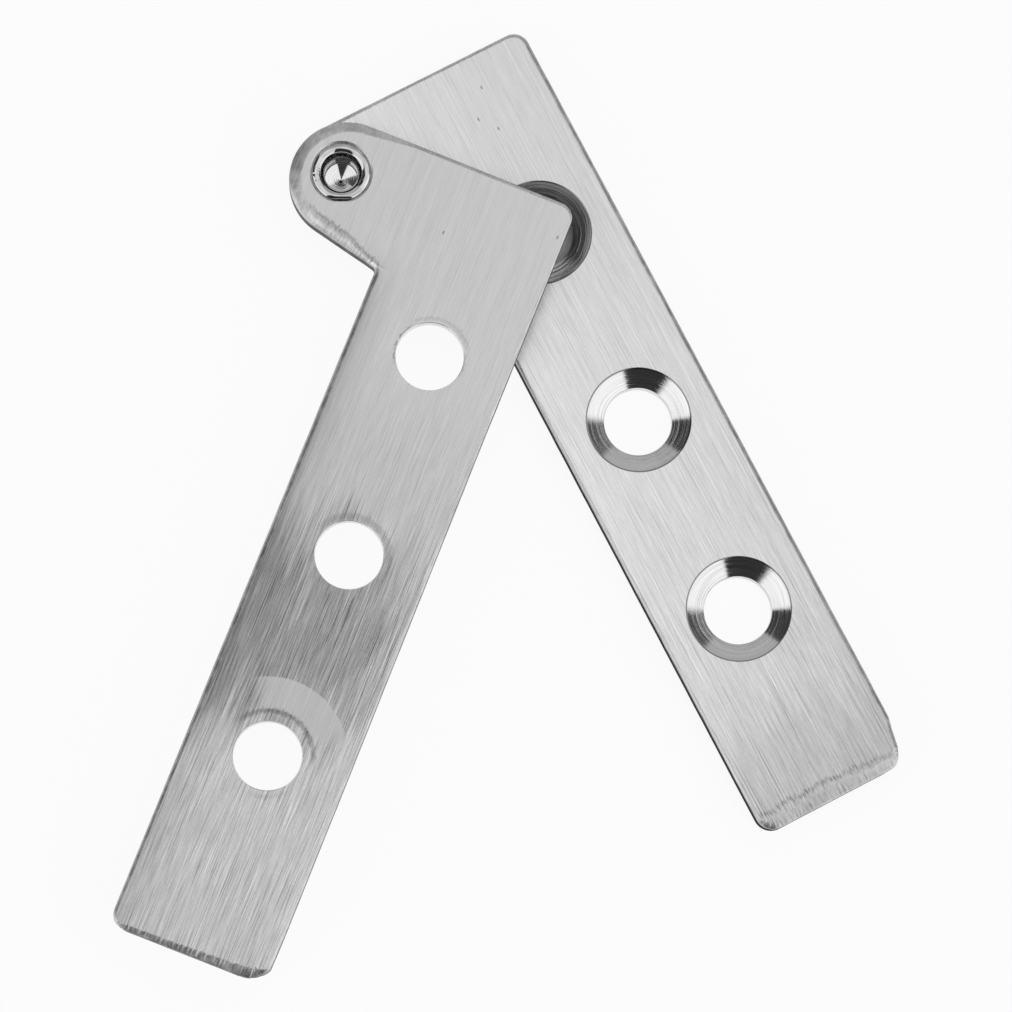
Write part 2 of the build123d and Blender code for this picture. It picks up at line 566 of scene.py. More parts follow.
def upper_leaf(materials):
    """The upper leaf: turned over onto the lower one and swung open, with the flare's seat on top."""
    seat = seat_profile(FLARE_SEAT_RADIUS, SEAT_BORE_RADIUS)
    turned_over = Matrix.Translation((0, 0, upper_top)) @ Matrix.Scale(-1, 4, (0, 0, 1))
    place = Matrix.Rotation(-opening, 4, "Z") @ turned_over
    return leaf("upper_leaf_plate", HIDDEN_WEAR, UPPER_OUTER_WEAR, UPPER_LOSS, dished_face,
                seat, FLAT_HEADING + opening, materials, place)


# Rivet

# Point of the bore: the shares of its radius that it spans
POINT_SPAN = (0.02, 0.99)
POINT_STATIONS = 30

# Wall of the bore: corner at its floor, how far from its floor and mouth the drill's rings run, and
# the rings' step, size and frequency
BORE_CORNER = 0.02
BORE_START, BORE_END = 0.06, 0.03
BORE_STEP = 0.045
BORE_RINGS = 0.012
BORE_WAVES = 5.0

# Mouth of the bore: share and power of its bell, and its rings
MOUTH_STATIONS = 22
BELL_SHARE = 0.45
BELL_POWER = 2.5
MOUTH_RINGS = 0.010
MOUTH_WAVES = 9.0
MOUTH_SEED = 4.2

# Lip, flare, shank and head, with their broken corners
LIP_STATIONS = 26
RIM_CORNER = (0.015, 0.03)
SHANK_CORNER = 0.02
NECK_CORNER = 0.03
HEAD_RINGS = (0.9, 0.7, 0.4, 0.1)

# Edge of the head: how far in from its radius and up from its foot each ring lies
HEAD_EDGE = [(0.02, 0.03), (0.0, 0.012), (0.03, 0.0), (0.08, 0.0)]

# Swell of the hammered lip: depth, frequencies round and across it, and fullness of its section
SWELL = 0.015
SWELL_ROUND = 2.2
SWELL_ACROSS = 3
CROWN_POWER = 0.5

# Nicks in the rivet's lip: heading and half width in degrees, and depth
LIP_NICKS = [(-129, 2.2, 0.018), (-113, 2.2, 0.018), (46, 3.0, 0.02), (-100, 2.0, 0.012)]


def circle_through(a, b, c):
    """Centre of the circle through three points."""
    rows = np.array([np.subtract(b, a), np.subtract(c, a)])
    return a + np.linalg.solve(2 * rows, np.sum(rows ** 2, axis=1))


def bore_stations(inside):
    """(radius, height) stations from the point of the rivet's bore up to the inside of its lip."""
    floor, point = upper_top - BORE_FLOOR, upper_top - BORE_POINT
    mouth = upper_top - MOUTH_FOOT
    shares = np.linspace(*POINT_SPAN, POINT_STATIONS)
    stations = [(BORE_RADIUS * share, point + (floor - point) * share) for share in shares]
    stations.append((BORE_RADIUS, floor + BORE_CORNER))
    for height in np.arange(floor + BORE_START, mouth - BORE_END, BORE_STEP):
        ring = BORE_RINGS * noise.noise(Vector((0, 0, height * BORE_WAVES)))
        stations.append((BORE_RADIUS + ring, height))
    for share in np.linspace(0, 1, MOUTH_STATIONS):
        ring = MOUTH_RINGS * noise.noise(Vector((MOUTH_SEED, 0, share * MOUTH_WAVES)))
        bell = (1 - BELL_SHARE) * share + BELL_SHARE * share ** BELL_POWER
        radius = BORE_RADIUS + (inside[0] - BORE_RADIUS) * bell
        stations.append((radius + ring * (1 - share), mouth + (inside[1] - mouth) * share))
    return stations


def lip_stations(inside, crown, rim):
    """(radius, height) stations along the arc over the rivet's lip, after its inside."""
    centre = circle_through(inside, crown, rim)
    size = math.dist(centre, crown)
    first = math.atan2(inside[1] - centre[1], inside[0] - centre[0])
    last = math.atan2(rim[1] - centre[1], rim[0] - centre[0])
    turns = np.linspace(first, last, LIP_STATIONS)[1:]
    return [(centre[0] + size * math.cos(turn), centre[1] + size * math.sin(turn)) for turn in turns]


def shank_stations(rim):
    """(radius, height) stations from the rim of the rivet's lip down to the middle of its head."""
    foot = upper_top - FLARE_FOOT
    neck = rivet_foot + HEAD_RADIUS - SHANK_RADIUS
    stations = [
        (rim[0] - RIM_CORNER[0], rim[1] - RIM_CORNER[1]),
        (SHANK_RADIUS + SHANK_CORNER, foot + SHANK_CORNER),
        (SHANK_RADIUS, foot - SHANK_CORNER),
        (SHANK_RADIUS, neck + NECK_CORNER),
        (SHANK_RADIUS + SHANK_CORNER, neck - SHANK_CORNER),
    ]
    stations += [(HEAD_RADIUS - inward, rivet_foot + up) for inward, up in HEAD_EDGE]
    return stations + [(HEAD_RADIUS * share, rivet_foot) for share in HEAD_RINGS]


def hammered(radius, turns):
    """Radii and drops of the lip's ring of that radius: flat on one side, swollen and nicked."""
    share = (radius - LIP_INSIDE[0]) / (LIP_RIM[0] - LIP_INSIDE[0])
    crown = math.sin(math.pi * min(share, 1)) ** CROWN_POWER
    places = circle((0, 0), SWELL_ROUND, radius * SWELL_ACROSS, len(turns))
    drops = SWELL * crown * (1 + np.array([noise.noise(Vector(place)) for place in places]))
    for place, half, deep in LIP_NICKS:
        off = (np.degrees(turns) - place + 180) % 360 - 180
        drops += crown * deep * np.exp(-(off / half) ** 2)
    return flattened(radius, LIP_CUT * share, FLAT_HEADING, RIVET_SEGMENTS), drops


def pivot_rivet(material):
    """The rivet as a closed shell, with its flare hammered flat on one side and a few nicks in its lip."""
    inside, crown, rim = ((r, upper_top - d) for r, d in (LIP_INSIDE, LIP_CROWN, LIP_RIM))
    shell = Shell()
    turns = np.linspace(0, 2 * math.pi, RIVET_SEGMENTS, endpoint=False)
    rings = []
    for radius, height in bore_stations(inside) + lip_stations(inside, crown, rim) + shank_stations(rim):
        radii, drops = radius, 0.0
        if height > upper_top - FLARE_FOOT and radius > LIP_INSIDE[0]:
            radii, drops = hammered(radius, turns)
        rings.append(shell.ring(circle((0, 0), radii, height - drops, RIVET_SEGMENTS)))
    shell.strip(rings, 0)
    shell.fan(rings[0], (0, 0, upper_top - BORE_POINT), 0)
    shell.fan(rings[-1], (0, 0, rivet_foot), 0)
    return shell.build("pivot_rivet_turned", [material], Matrix())


# Node graphs

# Gain of the noise, and how far from zero it then seldom goes
NOISE_GAIN = 8.0
NOISE_SPAN = 1.5

# Height of the relief that bump nodes stand for
RELIEF = 0.004


def cosine(degrees):
    return math.cos(math.radians(degrees))


def sine(degrees):
    return math.sin(math.radians(degrees))


class Graph:
    """Short ways to add nodes to a node tree."""

    def __init__(self, tree):
        self.tree = tree
        tree.nodes.clear()

    def add(self, kind, inputs, output=0, **settings):
        """Adds a node, sets its inputs to values or links, and returns one of its outputs."""
        node = self.tree.nodes.new("ShaderNode" + kind)
        for name, value in settings.items():
            setattr(node, name, value)
        for key, value in inputs.items():
            if isinstance(value, bpy.types.NodeSocket):
                self.tree.links.new(value, node.inputs[key])
            else:
                node.inputs[key].default_value = value
        return node.outputs[output] if node.outputs else None

    def math(self, operation, a, b=0.0):
        return self.add("Math", {0: a, 1: b}, operation=operation)

    def sum(self, *terms):
        """Sum of the terms. A pair is a term and its weight."""
        total, *others = (self.times(*term) if isinstance(term, tuple) else term for term in terms)
        for term in others:
            total = self.math("ADD", total, term)
        return total

    def times(self, *factors):
        """Product of the factors."""
        product = factors[0]
        for factor in factors[1:]:
            product = self.math("MULTIPLY", product, factor)
        return product

    def line(self, value, low, high, bottom=0.0, top=1.0, **settings):
        """Straight ramp from bottom to top as value goes from low to high."""
        inputs = {"Value": value, "From Min": low, "From Max": high, "To Min": bottom, "To Max": top}
        return self.add("MapRange", inputs, **settings)

    def rise(self, value, low, high, bottom=0.0, top=1.0):
        """Smooth step from bottom to top as value goes from low to high."""
        return self.line(value, low, high, bottom, top, interpolation_type="SMOOTHSTEP")

    def band(self, value, low, high, soft):
        """One between low and high, and zero beyond them."""
        start = self.rise(value, low - soft, low + soft)
        return self.times(start, self.rise(value, high + soft, high - soft))

    def mix(self, share, a, b):
        """Mixes two numbers."""
        return self.add("Mix", {"Factor": share, "A": a, "B": b})

    def darken(self, shade, share, amount):
        """Takes that amount off a shade where share is one."""
        return self.times(shade, self.sum(1.0, (share, -amount)))

    def combine(self, x, y, z):
        return self.add("CombineXYZ", {0: x, 1: y, 2: z})

    def split(self, vector):
        """The three parts of a vector."""
        node = self.tree.nodes.new("ShaderNodeSeparateXYZ")
        self.tree.links.new(vector, node.inputs[0])
        return tuple(node.outputs)

    def dot(self, a, b):
        return self.add("VectorMath", {0: a, 1: b}, output="Value", operation="DOT_PRODUCT")

    def length(self, vector):
        return self.add("VectorMath", {0: vector}, output="Value", operation="LENGTH")

    def direction(self, vector):
        return self.add("VectorMath", {0: vector}, operation="NORMALIZE")

    def offset(self, x, y, centre):
        """Vector from a centre, across the plane of the leaf."""
        return self.combine(self.math("SUBTRACT", x, centre[0]), self.math("SUBTRACT", y, centre[1]), 0.0)

    def distance(self, x, y, centre):
        """Distance from a centre, across the plane of the leaf."""
        return self.length(self.offset(x, y, centre))

    def facing(self, x, y, centre, turn):
        """Cosine of the angle between a heading in degrees and the way out from a centre."""
        return self.dot(self.direction(self.offset(x, y, centre)), (cosine(turn), sine(turn), 0))

    def noise(self, vector, detail=1.5):
        """Noise with a mean near zero and a spread near one."""
        value = self.add("TexNoise", {"Vector": vector, "Scale": 1.0, "Detail": detail})
        return self.times(self.math("SUBTRACT", value, 0.5), NOISE_GAIN)

    def solid_noise(self, place, frequencies, detail=1.5):
        """Noise with a frequency per millimetre for each of the place's three parts."""
        return self.noise(self.combine(*map(self.times, place, frequencies)), detail)

    def streaks(self, place, along, across, detail=1.5):
        """Noise drawn out along the leaf, by its frequencies along and across it."""
        return self.solid_noise(place, (along, across, across), detail)

    def teeth(self, x, y, along, across, seed):
        """The same across one face, with a seed that sets it apart."""
        return self.noise(self.combine(self.times(x, along), self.times(y, across), seed))

    def spread(self, noise_value, least, most):
        """Takes noise to the stretch between two values."""
        return self.line(noise_value, -NOISE_SPAN, NOISE_SPAN, least, most)

    def grey(self, value):
        return self.add("CombineColor", {0: value, 1: value, 2: value})

    def bare_metal(self, shade, roughness, height, relief, extra):
        """Bare metal of that grey and roughness, with a relief, as the material's surface."""
        bump = self.add("Bump", {"Strength": relief, "Distance": RELIEF * MM, "Height": height})
        inputs = {"Base Color": self.grey(shade), "Metallic": 1.0, "Roughness": roughness, "Normal": bump}
        surface = self.add("BsdfPrincipled", {**inputs, **extra})
        self.add("OutputMaterial", {"Surface": surface})


def new_material(name):
    """A fresh node material and its graph."""
    material = bpy.data.materials.new(name)
    material.use_nodes = True
    return material, Graph(material.node_tree)


def leaf_coordinates(graph, turn):
    """Coordinates in millimetres along and across a leaf that is turned from +X by that angle."""
    place = graph.add("TexCoord", {}, output="Object")
    scaled = graph.add("VectorMath", {0: place, "Scale": 1 / MM}, operation="SCALE")
    local = graph.add("VectorRotate", {"Vector": scaled, "Angle": -turn}, rotation_type="Z_AXIS")
    return graph.split(local)


def grain_direction(graph, turn):
    """World direction across a leaf's grain, whatever pose it is in."""
    across = (-math.sin(turn), math.cos(turn), 0)
    return graph.add("VectorTransform", {"Vector": across}, vector_type="VECTOR",
                     convert_from="OBJECT", convert_to="WORLD")


def graded(graph, position, rows):
    """A value that changes along or across the leaf: rows of (place in millimetres, value)."""
    low, high = rows[0][0], rows[-1][0]
    share = graph.line(position, low, high)
    ramp = graph.tree.nodes.new("ShaderNodeValToRGB")
    graph.tree.links.new(share, ramp.inputs[0])
    ramp.color_ramp.interpolation = "EASE"
    stops = ramp.color_ramp.elements
    while len(stops) < len(rows):
        stops.new(0.5)
    for stop, (place, _) in zip(stops, rows):
        stop.position = (place - low) / (high - low)
    for stop, (_, value) in zip(stops, rows):
        stop.color = (value, value, value, 1)
    return ramp.outputs[0]


# Depths below a leaf's outer face between which its marks and painted light end
MARK_DEPTHS = (0.6, 0.4)


def outer_side(graph, z, face):
    """One near a leaf's outer face, which lies at the height face, and zero farther from it."""
    return graph.rise(z, *(face - depth for depth in MARK_DEPTHS))


# Brushed faces

# Noise at which a scratch sets in, and at which it is full
SCRATCH_SPAN = (1.15, 1.9)
PLATE_ROUGHNESS = (0.29, 0.36)
PLATE_ANISOTROPY = 0.75
PLATE_RELIEF = 0.45

# Nicks: how they are drawn out, radii of rim and floor, and how dark they are
NICK_STRETCH = 0.45
NICK_SPAN = (0.12, 0.04)
NICK_DARKNESS = 0.55
UPPER_NICKS = [(-1.73, 20.20), (1.69, 10.56)]
LOWER_NICKS = [(-1.61, 15.12), (0.88, 13.52), (2.45, 14.74)]

# Tone and contrast along each leaf, and tone across it: rows of (place, value)
LOWER_TONE = [(-5, 0.70), (30, 0.72), (48, 0.70), (58, 0.65), (66, 0.54), (71, 0.50)]
LOWER_CONTRAST = [(-5, 0.045), (20, 0.07), (45, 0.085), (60, 0.12), (71, 0.14)]
LOWER_ACROSS = [(5, 1.06), (10, 1.02), (17, 0.98), (22, 0.96)]
UPPER_TONE = [(-5, 0.635), (10, 0.63), (28, 0.57), (54, 0.59), (71, 0.57)]
UPPER_CONTRAST = [(-5, 0.03), (12, 0.045), (26, 0.09), (54, 0.17), (71, 0.16)]
UPPER_ACROSS = [(5, 0.985), (14, 1.0), (22, 1.01)]


def nicks(graph, x, y, places):
    """Small nicks drawn out along the leaf: one at each place, zero elsewhere."""
    total = 0.0
    for along, across in places:
        off_x = graph.times(graph.math("SUBTRACT", x, along), NICK_STRETCH)
        off_y = graph.math("SUBTRACT", y, across)
        total = graph.sum(total, graph.rise(graph.length(graph.combine(off_x, off_y, 0.0)), *NICK_SPAN))
    return total


def brushed_plate(name, turn, face, tone_rows, contrast_rows, across_rows, nick_places, zones):
    """Brushed plate: fine streaks along the leaf, its marks, and its painted light.

    zones adds the marks, painted shade and painted highlights of one leaf to its shade and contrast.
    They are on the outer face alone, which lies at the height face.
    """
    material, graph = new_material(name)
    place = leaf_coordinates(graph, turn)
    x, y, z = place
    fine = graph.streaks(place, 0.30, 10.0)
    thin = graph.streaks(place, 0.55, 18.0)
    specks = graph.streaks(place, 4.0, 9.0)
    broad = graph.streaks(place, 0.06, 1.7)
    scratch = graph.streaks(place, 0.12, 11.0, 0.0)
    start, full = SCRATCH_SPAN
    bright = graph.rise(scratch, start, full)
    dark = graph.rise(scratch, -start, -full)

    shade = graph.times(graded(graph, x, tone_rows), graded(graph, y, across_rows))
    contrast = graded(graph, x, contrast_rows)
    outer = outer_side(graph, z, face)
    marked, unsettled = zones(graph, place, shade, contrast)
    shade = graph.mix(outer, shade, marked)
    contrast = graph.mix(outer, contrast, unsettled)
    swing = graph.sum((fine, 0.6), (thin, 0.5), (broad, 0.22), (specks, 0.20), (bright, 1.5), (dark, -1.8))
    shade = graph.times(shade, graph.sum(1.0, (swing, contrast)))
    shade = graph.darken(shade, graph.times(nicks(graph, x, y, nick_places), outer), NICK_DARKNESS)

    height = graph.sum((fine, 0.30), (thin, 0.25), (bright, 0.5), (dark, -0.5))
    roughness = graph.spread(broad, *PLATE_ROUGHNESS)
    drawn_out = {"Anisotropic": PLATE_ANISOTROPY, "Tangent": grain_direction(graph, turn)}
    graph.bare_metal(shade, roughness, height, PLATE_RELIEF, drawn_out)
    return material


# Marks of the lower leaf

# Ragged line near the free end: its place and softness, how it bends and darkens from one place across
# the leaf to another, and sizes of its teeth, its slow waver and the breaks in it
LINE_SPAN = (68.15, 68.55, 0.12)
LINE_BEND = (13.0, 20.5, 0.0, -0.45)
LINE_DARKNESS = (21.0, 12.0, 0.20, 0.36)
LINE_TEETH = 0.15
LINE_WAVER = 0.08
LINE_STRENGTH, LINE_BREAKS = 0.8, 0.5


def lower_zones(graph, place, shade, contrast):
    """Lower leaf: the ragged line where the belt that thinned its free end set in."""
    x, y, _ = place
    teeth = graph.teeth(x, y, 0.4, 5.0, seed=0.0)
    waver = graph.noise(graph.combine(0.0, graph.times(y, 0.35), 2.0))
    breaks = graph.teeth(x, y, 0.8, 6.0, seed=5.0)
    course = graph.sum(x, (teeth, LINE_TEETH), (waver, LINE_WAVER), graph.rise(y, *LINE_BEND))
    drawn = graph.sum(LINE_STRENGTH, (breaks, LINE_BREAKS))
    line = graph.times(graph.band(course, *LINE_SPAN), graph.rise(y, *LINE_DARKNESS), drawn)
    return graph.darken(shade, line, 1.0), contrast


# Marks and painted light of the upper leaf

# Soft shade near the near edge, and the deeper one right beside it, by place along and across
NEAR_ALONG, NEAR_ACROSS, NEAR_DARKNESS = (4.0, 11.0), (10.0, 6.5), 0.15
RIM_ALONG, RIM_ACROSS, RIM_DARKNESS = (8.5, 44.0, 4.0), (7.3, 6.4), 0.28

# Dark, coarse stretch between its holes, a painted reflection of something dark: where it sets in and
# ends, how its end slants, how dark it is across the leaf, and the contrast of its streaks
DARK_START = (26.5, 35.5)
DARK_END = (55.0, 48.0)
DARK_SLANT = 0.25
DARK_ACROSS = [(6, 0.44), (12, 0.42), (15, 0.38), (18, 0.35), (19.3, 0.25), (21, 0.16)]
DARK_CONTRAST = 0.26

# Half ring round its last hole, painted lighter and smoother than the dark stretch around it, a painted
# reflection of the face dished there: heading, cosines between which it fades, radii and softness,
# raggedness, tone and contrast
HALO_HEADING = 166.7
HALO_FADE = (0.62, 0.88)
HALO_SPAN = (4.15, 7.05, 0.07)
HALO_RAGGED = 0.01
HALO_TONE, HALO_CONTRAST = 0.54, 0.05

# Arcs of painted shade round its holes, on the dished face and, for the two narrow ones at the first
# hole, on its rounded rim: which hole, radius, half width, heading and half angle in degrees, darkness
DARK_ARCS = [
    (2, 4.02, 0.20, 172, 66, 0.40),
    (2, 3.65, 0.20, 22, 22, 0.14),
    (1, 3.52, 0.28, 172, 75, 0.20),
    (0, 3.48, 0.10, 174, 52, 0.20),
    (0, 3.12, 0.06, -95, 34, 0.70),
    (0, 3.14, 0.06, 95, 14, 0.60),
]
ARC_TEETH = 0.10
ARC_SOFTNESS = 0.14
ARC_FADE = 12

# Painted highlight and painted shade on the worn flank, measured from the nose's centre: where they run
# along it and set in away from it, and the two places between which their width changes, with those widths
FLANK_ALONG = (-1.2, 7.0, 0.9)
FLANK_OUT = (0.0, 1.5)
FLANK_WIDTHS = (2.5, 6.5, 1.15, 0.52)

# Start, end and softness of each band as shares of that width, raggedness, and change of tone: the
# first is the painted highlight, the second the painted shade
FLANK_LIGHT_BANDS = [
    (0.36, 0.68, 0.14, 0.03, 0.40),
    (0.92, 1.16, 0.12, 0.12, -0.34),
]


def flank_painted_light(graph, place, face):
    """Painted light on the upper leaf's worn flank: a painted highlight band, and strokes of painted shade
    inside it.
    """
    x, y, z = place
    off = graph.offset(x, y, nose_centre)
    across = graph.dot(off, (math.cos(FLANK_ANGLE), -math.sin(FLANK_ANGLE), 0))
    along = graph.dot(off, (math.sin(FLANK_ANGLE), math.cos(FLANK_ANGLE), 0))
    bend = graph.math("MINIMUM", along, 0.0)
    reach = graph.math("SQRT", graph.sum((across, across), (bend, bend)))
    width = graph.rise(along, *FLANK_WIDTHS)
    depth = graph.math("DIVIDE", graph.math("SUBTRACT", NOSE_RADIUS, reach), width)
    teeth = graph.teeth(x, y, 0.6, 5.0, seed=4.0)
    strokes = [(graph.band(graph.sum(depth, (teeth, ragged)), start, end, soft), change)
               for start, end, soft, ragged, change in FLANK_LIGHT_BANDS]
    here = graph.times(graph.band(along, *FLANK_ALONG), outer_side(graph, z, face),
                       graph.rise(across, *FLANK_OUT))
    return graph.times(here, graph.sum(*strokes))


def dark_arc(graph, x, y, teeth, row):
    """One arc of painted shade round a screw hole, as a share between zero and one."""
    hole, radius, half, turn, reach, _ = row
    away = graph.sum(graph.distance(x, y, screws[hole]), teeth)
    side = graph.rise(graph.facing(x, y, screws[hole], turn),
                      cosine(reach + ARC_FADE), cosine(reach - ARC_FADE))
    return graph.times(side, graph.band(away, radius - half, radius + half, ARC_SOFTNESS))


def upper_zones(graph, place, shade, contrast):
    """Upper leaf: painted light and shade on its flank, near edge, dark stretch, half ring and hole arcs."""
    x, y, _ = place
    # Painted highlight and painted shade on the worn flank
    shade = graph.times(shade, graph.sum(1.0, flank_painted_light(graph, place, upper_top)))
    near = graph.times(graph.rise(x, *NEAR_ALONG), graph.rise(y, *NEAR_ACROSS))
    shade = graph.darken(shade, near, NEAR_DARKNESS)
    rim = graph.times(graph.band(x, *RIM_ALONG), graph.rise(y, *RIM_ACROSS))
    shade = graph.darken(shade, rim, RIM_DARKNESS)

    ragged = graph.sum((graph.streaks(place, 0.05, 3.0), 1.6), (graph.streaks(place, 0.15, 0.4), 1.2))
    # Painted reflection: the stretch between the holes is painted darker and coarser, standing in for a dark
    # reflection
    start = graph.rise(graph.sum(x, ragged), *DARK_START)
    end = graph.rise(graph.sum(x, ragged, (y, DARK_SLANT)), *DARK_END)
    painted_dark_reflection = graph.times(start, end)
    shade = graph.darken(shade, graph.times(painted_dark_reflection, graded(graph, y, DARK_ACROSS)), 1.0)
    contrast = graph.mix(painted_dark_reflection, contrast, DARK_CONTRAST)

    # Painted reflection: a half ring round the last hole, lighter than the dark stretch, where the face is
    # dished
    away = graph.sum(graph.distance(x, y, screws[2]), (ragged, HALO_RAGGED))
    side = graph.rise(graph.facing(x, y, screws[2], HALO_HEADING), *HALO_FADE)
    painted_halo = graph.times(side, graph.band(away, *HALO_SPAN))
    shade = graph.mix(painted_halo, shade, HALO_TONE)
    contrast = graph.mix(painted_halo, contrast, HALO_CONTRAST)
    # Painted shade: dark arcs round the holes, on the dished face and on the first hole's rim
    teeth = graph.times(graph.teeth(x, y, 2.0, 7.0, seed=1.0), ARC_TEETH)
    for row in DARK_ARCS:
        shade = graph.darken(shade, dark_arc(graph, x, y, teeth, row), row[-1])
    return shade, contrast


# Edges and walls

EDGE_TONE = 0.58
EDGE_ROUGHNESS = (0.36, 0.46)
EDGE_RELIEF = 0.3

# Depths between which an edge turns into a sheared wall, and the walls' share of its tone: duller
# sheared steel, darkened further as painted shade. The tint keeps walls that are seen nearly edge-on
# from turning white.
WALL_DEPTHS = (0.50, 0.30)
LOWER_WALL_SHARE = 0.26
UPPER_WALL_SHARE = 0.75
WALL_TINT = (0.08, 0.08, 0.08, 1)


def edge_steel(name, turn, face, wall_share, painted_flank_light=False):
    """Rolled and linished edges with short strokes; sheared walls below face are duller, partly by painted
    shade.
    """
    material, graph = new_material(name)
    place = leaf_coordinates(graph, turn)
    strokes = graph.streaks(place, 0.5, 6.0)
    patches = graph.streaks(place, 1.1, 1.1)
    layers = graph.solid_noise(place, (0.3, 0.3, 7.0))
    shade = graph.sum(EDGE_TONE, (strokes, 0.05), (patches, 0.04), (layers, 0.03))
    depths = (face - depth for depth in WALL_DEPTHS)
    # Sheared walls are darker, partly duller steel and partly painted shade
    shade = graph.times(shade, graph.rise(place[2], *depths, wall_share, 1.0))
    # Painted highlight and painted shade on the upper leaf's worn flank
    if painted_flank_light:
        shade = graph.times(shade, graph.sum(1.0, flank_painted_light(graph, place, face)))
    height = graph.sum((strokes, 0.4), (layers, 0.4))
    roughness = graph.spread(patches, *EDGE_ROUGHNESS)
    graph.bare_metal(shade, roughness, height, EDGE_RELIEF, {"Specular Tint": WALL_TINT})
    return material


# Turned steel

# Rings about the axis: how far they lean down the bore, and how far they waver
RING_LEAN = 0.6
RING_WAVER = 0.03

# Dark rim of a countersink: reach inside and outside the cone's edge, and softness
SINK_LINE = (0.06, 0.1, 0.03)
SINK_LINE_DARKNESS = 0.6

# Wall of the rivet's bore, duller drilled steel deepened by painted shade, with painted glints on its
# rings: how it fades beyond its radius and above its floor, tone and glints
WALL_FADE = (0.22, 0.02)
FLOOR_FADE = (0.03, 0.12)
BORE_TONE = 0.17
GLINT_SPAN = (0.7, 1.5)
GLINT_SIZE = 0.6

# Lip of the rivet: how far beyond the bore it sets in, tone and patches
LIP_START = (0.3, 0.45)
LIP_TONE = 0.74
LIP_PATCHES = 0.08


def sink_lines(graph, place, away, depth, rings, shade):
    """Darkens a line round the edge of each countersink."""
    inside, outside, soft = SINK_LINE
    for axis in screws:
        distance = graph.distance(place[0], place[1], axis)
        line = graph.band(distance, SINK_RADIUS - inside, SINK_RADIUS + outside, soft)
        shade = graph.darken(shade, line, SINK_LINE_DARKNESS)
    return shade


def dark_bore(graph, place, away, depth, rings, shade):
    """Darkens the rivet's bore with painted shade but for painted glints, and dulls the steel beyond its
    mouth in patches.
    """
    x, y, z = place
    # Painted shade down the bore, partly its duller drilled wall, with painted glints on its rings
    beside = graph.rise(away, *(BORE_RADIUS + reach for reach in WALL_FADE))
    above = graph.rise(z, *(upper_top - BORE_FLOOR + height for height in FLOOR_FADE))
    glints = graph.rise(rings, *GLINT_SPAN)
    shade = graph.mix(graph.times(beside, above), shade, graph.sum(BORE_TONE, (glints, GLINT_SIZE)))
    lip = graph.rise(away, *(BORE_RADIUS + reach for reach in LIP_START))
    patches = graph.solid_noise((x, y, depth), (0.9, 0.9, 2.5))
    return graph.times(shade, graph.mix(lip, 1.0, graph.sum(LIP_TONE, (patches, LIP_PATCHES))))


def turned_steel(name, turn, axes, tone, roughness, relief, marks_and_shade):
    """Steel as a tool leaves it, with fine rings about each axis. The last argument returns the shade with
    its marks and any painted shade.
    """
    material, graph = new_material(name)
    place = leaf_coordinates(graph, turn)
    x, y, z = place
    away = graph.distance(x, y, axes[0])
    for axis in axes[1:]:
        away = graph.math("MINIMUM", away, graph.distance(x, y, axis))
    waver = graph.streaks(place, 0.35, 0.35, 1.0)
    depth = graph.sum(away, (z, RING_LEAN), (waver, RING_WAVER))
    coarse = graph.streaks((depth, x, y), 7.0, 0.12, 0.0)
    rings = graph.streaks((depth, x, y), 22.0, 0.25, 1.0)
    shade = graph.sum(tone, (rings, 0.035), (coarse, 0.03))
    shade = marks_and_shade(graph, place, away, depth, rings, shade)
    height = graph.sum((rings, 0.5), (coarse, 0.9))
    graph.bare_metal(shade, graph.spread(coarse, *roughness), height, relief, {})
    return material


# Studio

# Pale floor: half its side, its own tone, and the share of it that reads as plain white
FLOOR_HALF = 3.0
FLOOR_TONE = 0.92
FLOOR_GLOW = 0.92

# Radii between which the glow stops under the lower leaf's first hole, which the upper leaf nearly
# covers: a painted shadow, where the floor keeps only its own diffuse shading
COVERED_SPAN = (4.4, 3.6)

# Tones of the tent near the horizon and its top, and the heights between which they change
HORIZON_TONE = 0.6
ZENITH_TONE = 1.0
TENT_SPAN = (0.05, 0.75)

# Cards that the metal reflects: heading clockwise from the picture's top, half width, softness of the
# sides, lowest and highest elevation, all in degrees, and tone
TOP_OF_PICTURE = 152.4
CARDS = [
    (118.5, 37.5, 3, -20, 45, 1.30),
    (247.5, 30, 3, -20, 55, 1.30),
    (360, 44, 5, -20, 62, 0.56),
    (61, 20, 4, -20, 32, 0.10),
    (187.5, 31, 2, -20, 80, 0.04),
    (297.5, 21, 2, -20, 64, 0.06),
]
CARD_SOFT = 4

# Camera: the point of the upper leaf's outer face that it looks at, distance, lean from straight down
# and its heading, heading of the picture's right side, and lens
TARGET_X, TARGET_Y = 33.6, -0.87
CAMERA_DISTANCE = 444.87
CAMERA_LEAN = 7.937
LEAN_HEADING = -40.92
RIGHT_HEADING = 62.41
SENSOR_WIDTH = 36.0
LENS_PIXELS = 5000
PICTURE_PIXELS = 1012


def heading(degrees):
    """Level direction at that angle from +X."""
    return Vector((cosine(degrees), sine(degrees), 0))


